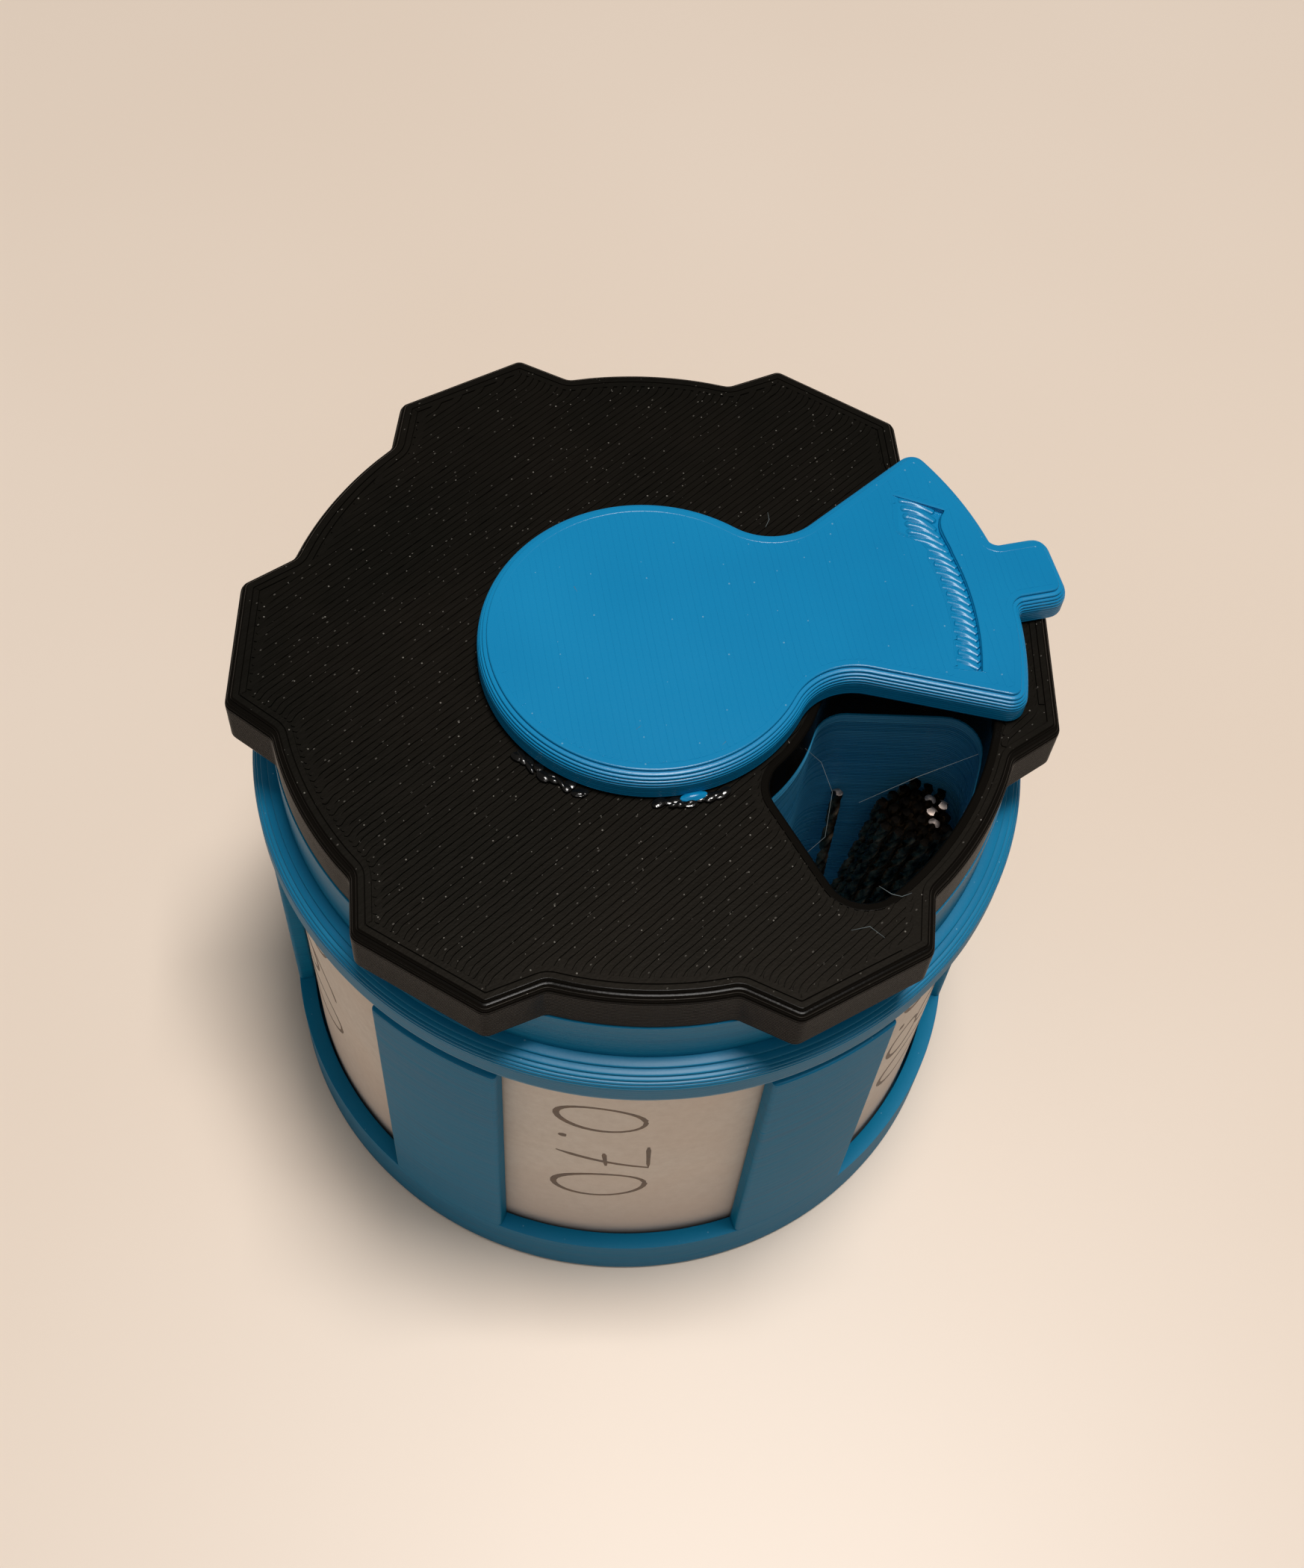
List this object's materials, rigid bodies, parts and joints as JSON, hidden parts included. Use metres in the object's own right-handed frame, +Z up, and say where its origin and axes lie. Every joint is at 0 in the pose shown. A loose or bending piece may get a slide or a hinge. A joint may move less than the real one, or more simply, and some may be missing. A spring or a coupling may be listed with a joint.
{
  "type": "drill bit case",
  "caption": "Round rotary case for small drill bits: windowed shell with label cards, cup with pie-shaped compartments, turning lid with one opening and a turning shutter that closes it.",
  "frame": {"origin": "on the case's axis, on the flat face of the shell's floor that the case stands on", "axes": "+Z up along the axis of the lid and shutter; one window faces -Y; lid lobes and pillars stand at 0 degrees and every 60 degrees"},
  "size_m": [0.052, 0.051, 0.0455],
  "materials": {
    "blue_plastic": "printed, satin, with fine layer lines",
    "black_plastic": "printed, satin, with diagonal top lines",
    "card": "uncoated white paper",
    "drill_steel": "black oxide with bright ground points",
    "steel": "zinc plated"
  },
  "bodies": {
    "shell": {"outer_shell": "blue_plastic", "label_card_1": "card", "label_card_2": "card", "label_card_3": "card", "label_card_4": "card", "label_card_5": "card", "label_card_6": "card"},
    "cup": {"compartment_cup": "blue_plastic", "compartment_divider": "blue_plastic", "drill_bits_1": "drill_steel", "drill_bits_2": "drill_steel", "drill_bits_3": "drill_steel", "drill_bits_4": "drill_steel", "drill_bits_5": "drill_steel", "drill_bits_6": "drill_steel", "loose_drill_bit": "drill_steel"},
    "lid": {"lid": "black_plastic"},
    "shutter": {"shutter": "blue_plastic", "pivot_screw": "steel", "flat_washer": "steel", "spring_washer": "steel"}
  },
  "joints": [
    {"name": "cup_lift", "type": "slide", "parent": "shell", "child": "cup", "axis": [0, 0, 1], "range_m": [0, 0.032]},
    {"name": "lid_turn", "type": "hinge", "parent": "cup", "child": "lid", "pos_m": [0, 0, 0.0413], "axis": [0, 0, 1], "continuous": true},
    {"name": "shutter_turn", "type": "hinge", "parent": "lid", "child": "shutter", "pos_m": [0, 0, 0.0444], "axis": [0, 0, 1], "continuous": true}
  ]
}
